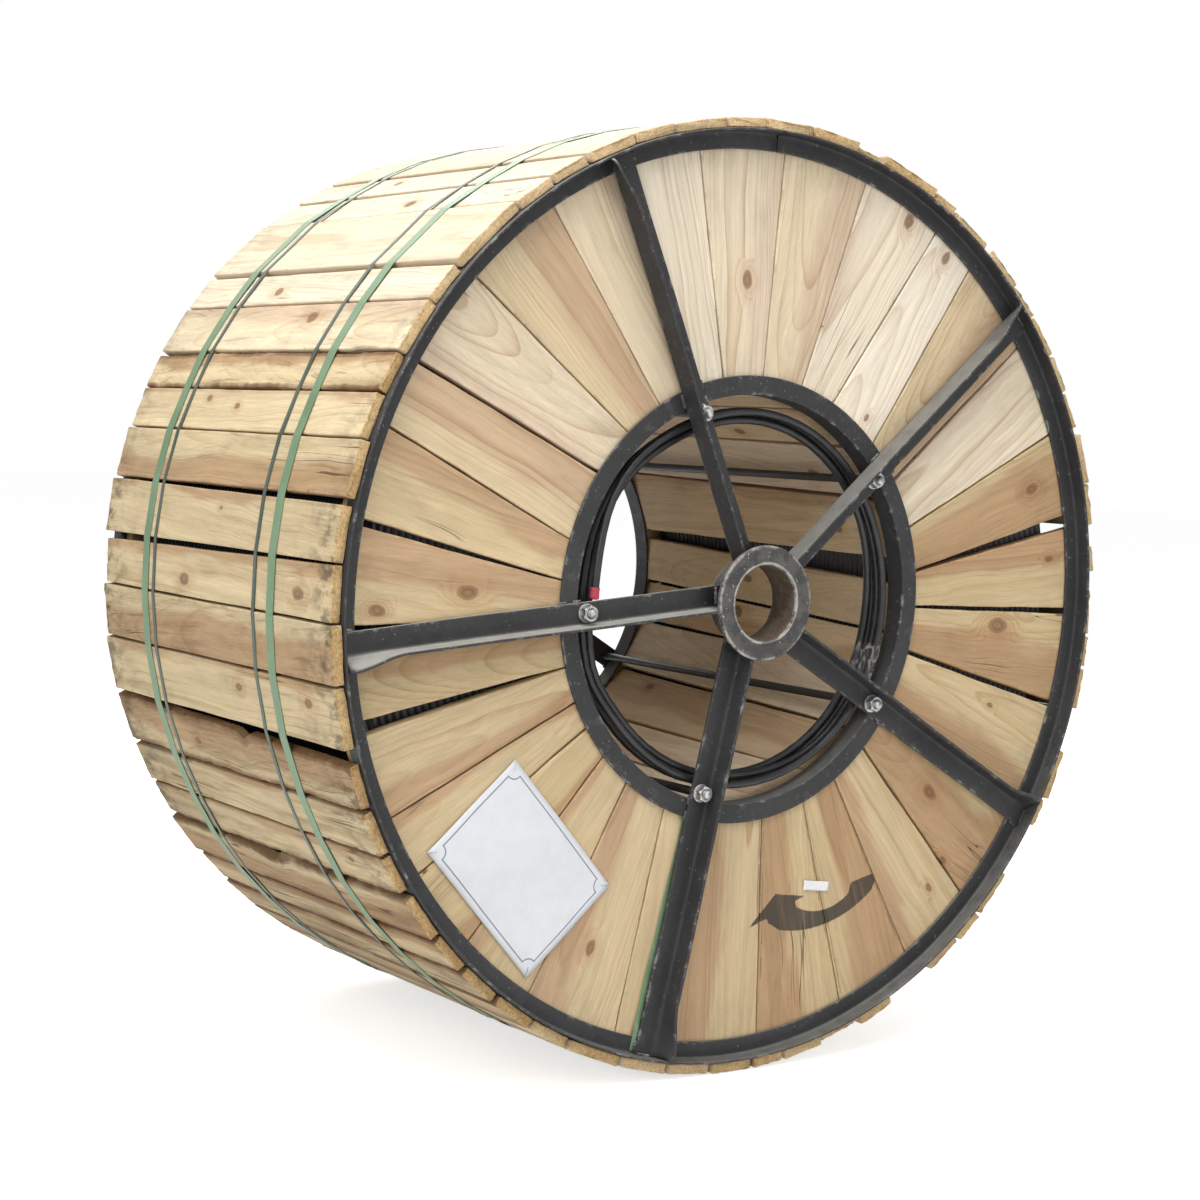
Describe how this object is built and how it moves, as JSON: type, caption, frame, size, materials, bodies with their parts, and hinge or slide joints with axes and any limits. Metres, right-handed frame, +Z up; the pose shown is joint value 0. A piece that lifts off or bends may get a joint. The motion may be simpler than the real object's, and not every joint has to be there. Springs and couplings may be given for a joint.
{
  "type": "cable reel",
  "caption": "Lagged cable drum standing on its rim: steel-spoked board flanges on a stave barrel with arbor hubs, wound full of black cable behind strapped boards.",
  "frame": {"origin": "on the floor under the middle of the drum", "axes": "+Z up, Y along the drum's axis, the flange that the picture shows faces -Y"},
  "size_m": [1.2287, 0.7, 1.2304],
  "materials": {
    "steel_paint": "satin black paint, scuffed",
    "hub_steel": "black paint worn to bare steel",
    "flange_wood": "rough sawn",
    "stave_wood": "rough sawn, dusty",
    "lagging_wood": "rough sawn, weathered",
    "zinc": "zinc plated",
    "rod_steel": "dull and dark",
    "cable_black": "satin black jacket",
    "cap_red": "heat-shrunk",
    "strap_light": "embossed band",
    "strap_dark": "narrow band",
    "sheet_white": "matte",
    "sticker_paper": "matte"
  },
  "bodies": {
    "root": {"front_rim": "steel_paint", "back_rim": "steel_paint", "front_eye_ring": "steel_paint", "back_eye_ring": "steel_paint", "front_boards": "flange_wood", "back_boards": "flange_wood", "barrel_staves": "stave_wood", "front_hub": "hub_steel", "back_hub": "hub_steel", "front_spokes": "steel_paint", "back_spokes": "steel_paint", "tie_rods": "rod_steel", "washers": "zinc", "nuts": "zinc", "cable_winding": "cable_black", "cable_tail": "cable_black", "tail_cap": "cap_red", "lagging_boards": "lagging_wood", "front_strap": "strap_light", "front_cord_strap": "strap_dark", "back_cord_strap": "strap_dark", "back_strap": "strap_light", "strap_strip": "strap_light", "label_sheet": "sheet_white", "sticker": "sticker_paper"}
  },
  "joints": []
}
